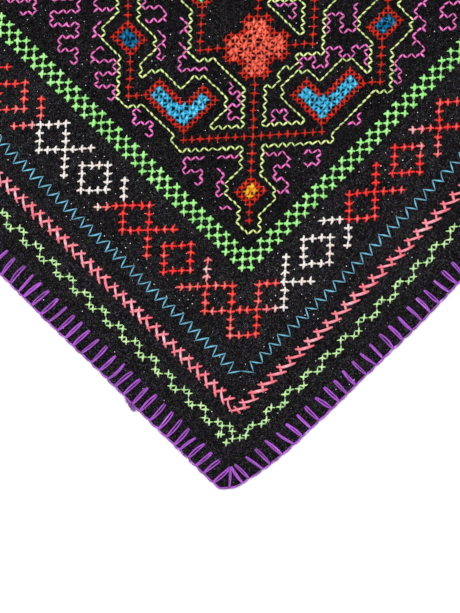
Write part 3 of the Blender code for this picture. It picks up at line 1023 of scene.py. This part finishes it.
def edging(pile):
    ring, _, inward = fine_outline(0.00050)
    feet = []
    for foot, tip in edge_stitches():
        at = np.array(foot) * (CELL_X, CELL_Y) + EDGE_YARN
        k = int(np.argmin(((ring - at) ** 2).sum(1)))
        feet.append((k, np.array(tip) * (CELL_X, CELL_Y) + EDGE_YARN))
    feet.sort(key=lambda f: f[0])
    total = len(ring)
    # the yarn along the edge, drawn in a little at each foot and swelling between
    steps = []
    for (k, _), (nxt, _) in zip(feet, feet[1:] + [(feet[0][0] + total, None)]):
        span = nxt - k
        if span < 1:
            continue
        swollen = rng.uniform(0.2, 1.7)
        for share, out in ((0.0, 0.20), (0.28, -0.12), (0.5, -0.22), (0.75, -0.10)):
            steps.append((k + share * span, out * swollen + rng.normal(0, 0.03)))
    steps.sort()
    at = np.array([s[0] for s in steps]) % total
    out = np.array([s[1] for s in steps]) * 0.001
    base = np.stack([np.interp(at, np.arange(total + 1), np.append(ring[:, i], ring[0, i])) for i in (0, 1)], 1)
    inn = np.stack([np.interp(at, np.arange(total + 1), np.append(inward[:, i], inward[0, i])) for i in (0, 1)], 1)
    flat = base + inn * out[:, None]
    xy = place(flat[:, 0], flat[:, 1])
    n = len(xy)
    z = 0.00058 + swell(xy) + rng.normal(0, 0.00003, n)
    line = np.concatenate([xy, z[:, None]], 1)[None]
    wide = 0.00049 * (1 + rng.normal(0, 0.11, n))[None]
    around = np.radians(np.arange(8) * 45.0 - 54.0)
    pile.add(line, wide, np.full((1, n), 0.00044), np.clip(0.36 + rng.normal(0, 0.3, n), 0, 1)[None], section=around, closed=True)
    # the legs: two strands side by side, over the edge at the foot and into one hole at the tip
    at = np.array([0.0, 0.04, 0.16, 0.36, 0.58, 0.78, 0.92, 0.985, 1.0])
    for k, tip in feet:
        foot = ring[k % total] - inward[k % total] * 0.00012
        tip = tip + rng.normal(0, 0.00022, 2)
        foot = foot + np.array([-inward[k % total][1], inward[k % total][0]]) * rng.normal(0, 0.00042)
        way = foot - tip
        length = np.hypot(*way)
        across = np.array([-way[1], way[0]]) / length
        gap = rng.uniform(0.00024, 0.00034) if rng.random() < 0.3 else rng.uniform(0.00042, 0.00060)
        middle = rng.uniform(0.3, 0.6)
        shape = 0.22 + 0.78 * np.sin(pi * at ** (np.log(0.5) / np.log(middle))) ** 0.8 + rng.uniform(0.0, 0.24) * (1 - at) ** 2
        lean = rng.normal(0, 0.00022)
        for side in (-1, 1):
            spread = side * gap * shape + lean * np.sin(pi * at)
            flat = tip + at[:, None] * way + across * spread[:, None]
            xy = place(flat[:, 0], flat[:, 1])
            lift = np.array([-0.0005, -0.00005, 0.00026, 0.00032, 0.00034, 0.00033, 0.00028, 0.00005, -0.00030])
            z = GROUND_TOP + swell(xy) + lift + rng.normal(0, 0.00003)
            size = np.array([0.6, 0.86, 1.05, 1.0, 1.0, 1.0, 0.95, 0.85, 0.7]) * rng.uniform(0.9, 1.1) * (1 + rng.normal(0, 0.06, len(at)))
            pile.add(np.concatenate([xy, z[:, None]], 1)[None], 0.00041 * size[None], 0.00034 * size[None],
                     np.clip(0.36 + rng.normal(0, 0.16) + rng.normal(0, 0.12, (1, len(at))), 0, 1))
        # and the leg that the same stitch leaves on the underside
        back = np.array([0.0, 0.06, 0.5, 0.95, 1.0])
        flat = tip + back[:, None] * way + across * (BEHIND.normal(0, 0.00025) * np.sin(pi * back))[:, None]
        xy = place(flat[:, 0], flat[:, 1])
        z = UNDERSIDE + swell(xy) + np.array([0.00014, -0.00004, -0.00008, -0.00004, 0.0001])
        pile.add(np.concatenate([xy, z[:, None]], 1)[None], np.array([[0.0003, 0.0004, 0.00046, 0.0004, 0.0003]]), np.full((1, 5), 0.0002),
                 np.full((1, 5), 0.3), section=LOW_SECTION, start=BEHIND.uniform(0, 40, 1))


# ---------------------------------------------------------------- pieces

def piece(name, pile, material):
    obj = bpy.data.objects.new(name, pile.mesh(name))
    obj.data.materials.append(material)
    bpy.context.scene.collection.objects.link(obj)
    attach(obj, "root")
    return obj


def sewn(name, stitches, material, wide, high=0.00026, behind="cross", **more):
    pile = Pile()
    straight(pile, stitches, wide, high, **more)
    reverse(pile, stitches, behind, wide, more.get("tint"))
    return piece(name, pile, material)


floss = flosses()
cloth = ground_sheet()
cloth.data.materials.append(black_cotton())
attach(cloth, "root")
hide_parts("cloth")

pile = Pile()
edging(pile)
piece("blanket_stitch_edge", pile, floss["purple"])
pile = Pile()
edge_fuzz(pile)
piece("blanket_stitch_fuzz", pile, floss["purple"])
sewn("pale_green_line", pale_green_line(), floss["pale_green"], 0.00041, glow=0.5, lean=0.00008, uneven=0.12)
pink, bends = pink_herringbone()
sewn("pink_herringbone", pink, floss["pink"], 0.00058, high=0.0003, shape=FULL, behind="links", tint=rng.uniform(0.1, 0.4, len(pink)), bends=bends, glow=0.75)
sewn("blue_zigzag", blue_zigzag(), floss["blue"], 0.00033, high=0.00022, behind="line", ends=0.12, over=0.00022, uneven=0.12)
chain, bends = ring_chain()
sewn("ring_chain", chain, floss["chain"], 0.00055, high=0.0003, shape=EVEN, tint=np.clip([s[5] for s in chain], 0.0, 0.98), bends=bends,
                          glow=np.where(np.array([s[5] for s in chain]) > 0.75, -1.7, 0.4), lean=0.00007)
sewn("bright_green_band", bright_green_band(), floss["bright_green"], 0.00062, high=0.0003, pull=0.08, glow=0.6, lean=0.00014, uneven=0.12)

red, fills, near_cells, outline_sides = field_chart()
shift = FIELD_LOW
sewn("field_red_stems", [s for a, b in sorted(red) for s in cross(a + shift, b + shift)], floss["red_orange"], 0.00048, glow=0.55, ends=0.3, lean=0.00005, uneven=0.13)
outlines = [(a + shift, b + shift, c + shift, d + shift, 0, 0) for a, b, c, d in outline_sides]
sewn("field_outlines", outlines, floss["yellow_green"], 0.0004, behind="line", shape=COARSE, sag=0.00002, pull=0.03, glow=0.5, ends=0.45, lean=0.00012, uneven=0.13)
winding = [(p[0] + shift, p[1] + shift, q[0] + shift, q[1] + shift, 0, 0) for line in meanders(near_cells) for p, q in zip(line, line[1:])]
sewn("field_meanders", winding, floss["magenta"], 0.00043, behind="pairs", shape=COARSE, sag=0.00002, pull=0.05, glow=0.45, ends=0.4, lean=0.0001, bow=0.0001, uneven=0.14)
for name in sorted(fills):
    stitches = [s for a, b in sorted(fills[name]) for s in cross(a + shift, b + shift)]
    sewn("field_fill_" + name, stitches, floss[name], 0.0006, high=0.0003, shape=FULL, pull=0.2, glow=0.8, ends=0.5, lean=0.00016, uneven=0.16)

# ---------------------------------------------------------------- floor, light, camera

def floor():
    mesh = bpy.data.meshes.new("floor")
    half = 3.0
    mesh.from_pydata([(-half, -half, 0), (half, -half, 0), (half, half, 0), (-half, half, 0)], [], [(0, 1, 2, 3)])
    t = Tree("pale_floor")
    place_ = t.node("ShaderNodeTexCoord", output=3)
    grain = t.node("ShaderNodeTexNoise", {"Vector": place_, "Scale": 3.0, "Detail": 2.0})
    t.link(t.ramp(grain, ((0.3, (0.93, 0.93, 0.93, 1)), (0.7, (0.95, 0.95, 0.95, 1)))), t.shader.inputs["Base Color"])
    t.shader.inputs["Roughness"].default_value = 0.9
    t.shader.inputs["Specular IOR Level"].default_value = 0.1
    mesh.materials.append(t.material)
    obj = bpy.data.objects.new("floor", mesh)
    bpy.context.scene.collection.objects.link(obj)


floor()

world = bpy.data.worlds.new("studio")
bpy.context.scene.world = world
world.use_nodes = True
world.node_tree.nodes["Background"].inputs[0].default_value = (1.0, 1.0, 1.0, 1.0)
world.node_tree.nodes["Background"].inputs[1].default_value = 0.82


def softbox(name, where, target, size, watts):
    data = bpy.data.lights.new(name, "AREA")
    data.shape, data.size, data.energy = "DISK", size, watts
    obj = bpy.data.objects.new(name, data)
    way = np.array(target) - np.array(where)
    obj.location = where
    obj.rotation_euler = (atan2(np.hypot(way[0], way[1]), -way[2]), 0.0, atan2(way[1], way[0]) - pi / 2)
    bpy.context.scene.collection.objects.link(obj)


# Where the view's middle meets the cloth, and the way that is up in the picture
VIEW = np.array([0.055945 - MID_X, 0.05724 - MID_Y])
TURN = radians(-44.93)
up, right_way = np.array([sin(radians(44.93)), cos(radians(44.93))]), np.array([cos(radians(44.93)), -sin(radians(44.93))])
lamp = VIEW + up * 0.58 - right_way * 0.42
softbox("soft_key", (lamp[0], lamp[1], 1.3), (VIEW[0], VIEW[1], 0.0), 1.4, 14.0)

camera_data = bpy.data.cameras.new("camera")
camera_data.lens, camera_data.sensor_width = 100.0, 36.0
camera_data.clip_start, camera_data.clip_end = 0.01, 50.0
camera = bpy.data.objects.new("camera", camera_data)
FRAME_HEIGHT = 613 * 0.001 / 2.439
camera.location = (VIEW[0], VIEW[1], 0.001 + FRAME_HEIGHT * camera_data.lens / camera_data.sensor_width)
camera.rotation_euler = (0.0, 0.0, TURN)
bpy.context.scene.collection.objects.link(camera)
bpy.context.scene.camera = camera

bpy.context.scene.view_settings.view_transform = "Standard"
bpy.context.scene.view_settings.look = "None"
bpy.context.scene.view_settings.exposure = 0.0
bpy.context.scene.view_settings.gamma = 1.0
